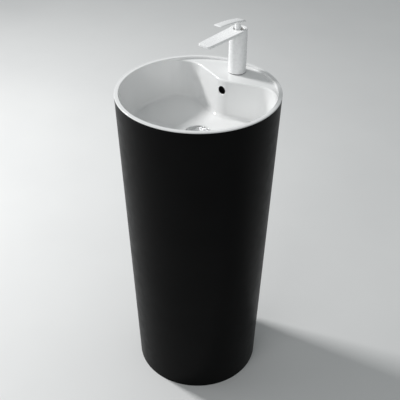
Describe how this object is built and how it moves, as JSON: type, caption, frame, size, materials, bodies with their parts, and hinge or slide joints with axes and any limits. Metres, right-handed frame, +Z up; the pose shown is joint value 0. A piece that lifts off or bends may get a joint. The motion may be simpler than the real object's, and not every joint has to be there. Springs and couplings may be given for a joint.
{
  "type": "pedestal sink",
  "caption": "Round freestanding pedestal sink: tapered black column with a glossy white inner bowl, rear tap deck, single-lever mixer tap and push-button waste.",
  "frame": {"origin": "centre of the column's base, on the floor", "axes": "+Z up along the column's axis, +Y from the bowl towards the tap and the wall, +X to the right seen from the front"},
  "size_m": [0.4, 0.4, 0.9905],
  "materials": {
    "white_glaze": "glossy white glaze",
    "black_glaze": "satin black glaze",
    "white_enamel": "semi-gloss white coating on brass",
    "chrome": "polished chrome plate",
    "brass": "machined brass",
    "steel": "zinc-plated or stainless steel",
    "rubber": "black rubber",
    "plastic": "pale engineering plastic"
  },
  "bodies": {
    "basin": {"basin_bowl": "white_glaze", "pedestal_shell": "black_glaze", "floor_bracket_left": "steel", "bracket_bolt_left": "steel", "floor_bracket_right": "steel", "bracket_bolt_right": "steel", "tap_body": "white_enamel", "cartridge_cap": "white_enamel", "cartridge_nut": "plastic", "cartridge_housing": "plastic", "aerator_housing": "white_enamel", "aerator_insert": "plastic", "tap_base_seal": "rubber", "tap_stud": "steel", "clamp_rubber": "rubber", "clamp_plate": "steel", "clamp_nut": "brass", "inlet_tail_hot": "brass", "inlet_tail_cold": "brass", "waste_body": "chrome", "waste_flange_seal": "rubber", "waste_back_seal": "rubber", "waste_back_nut": "brass", "click_latch": "plastic", "plug_spring": "steel", "trap_inlet_nut": "chrome", "trap_inlet_seal": "rubber", "trap_inlet_pipe": "chrome", "trap_body_nut": "chrome", "trap_body": "chrome", "trap_cup": "chrome", "trap_cup_seal": "rubber", "trap_outlet_nut": "chrome", "trap_outlet_seal": "rubber", "trap_outlet_pipe": "chrome"},
    "lever_carrier": {"cartridge_rotor": "plastic", "rotor_pin": "steel"},
    "lever": {"cartridge_stem": "brass", "lever_handle": "white_enamel", "lever_grub_screw": "steel"},
    "plug": {"plug_cap": "chrome", "plug_seal": "rubber", "plug_spindle": "brass"}
  },
  "joints": [
    {"name": "lever_swing", "type": "hinge", "parent": "basin", "child": "lever_carrier", "pos_m": [0, 0.151, 0.936], "axis": [0, 0, 1], "range_deg": [-45, 45]},
    {"name": "lever_lift", "type": "hinge", "parent": "lever_carrier", "child": "lever", "pos_m": [0, 0.148, 0.936], "axis": [-1, 0, 0], "range_deg": [0, 20]},
    {"name": "plug_rise", "type": "slide", "parent": "basin", "child": "plug", "axis": [0, 0, 1], "range_m": [0, 0.006], "deforming": ["plug_spring"]}
  ]
}
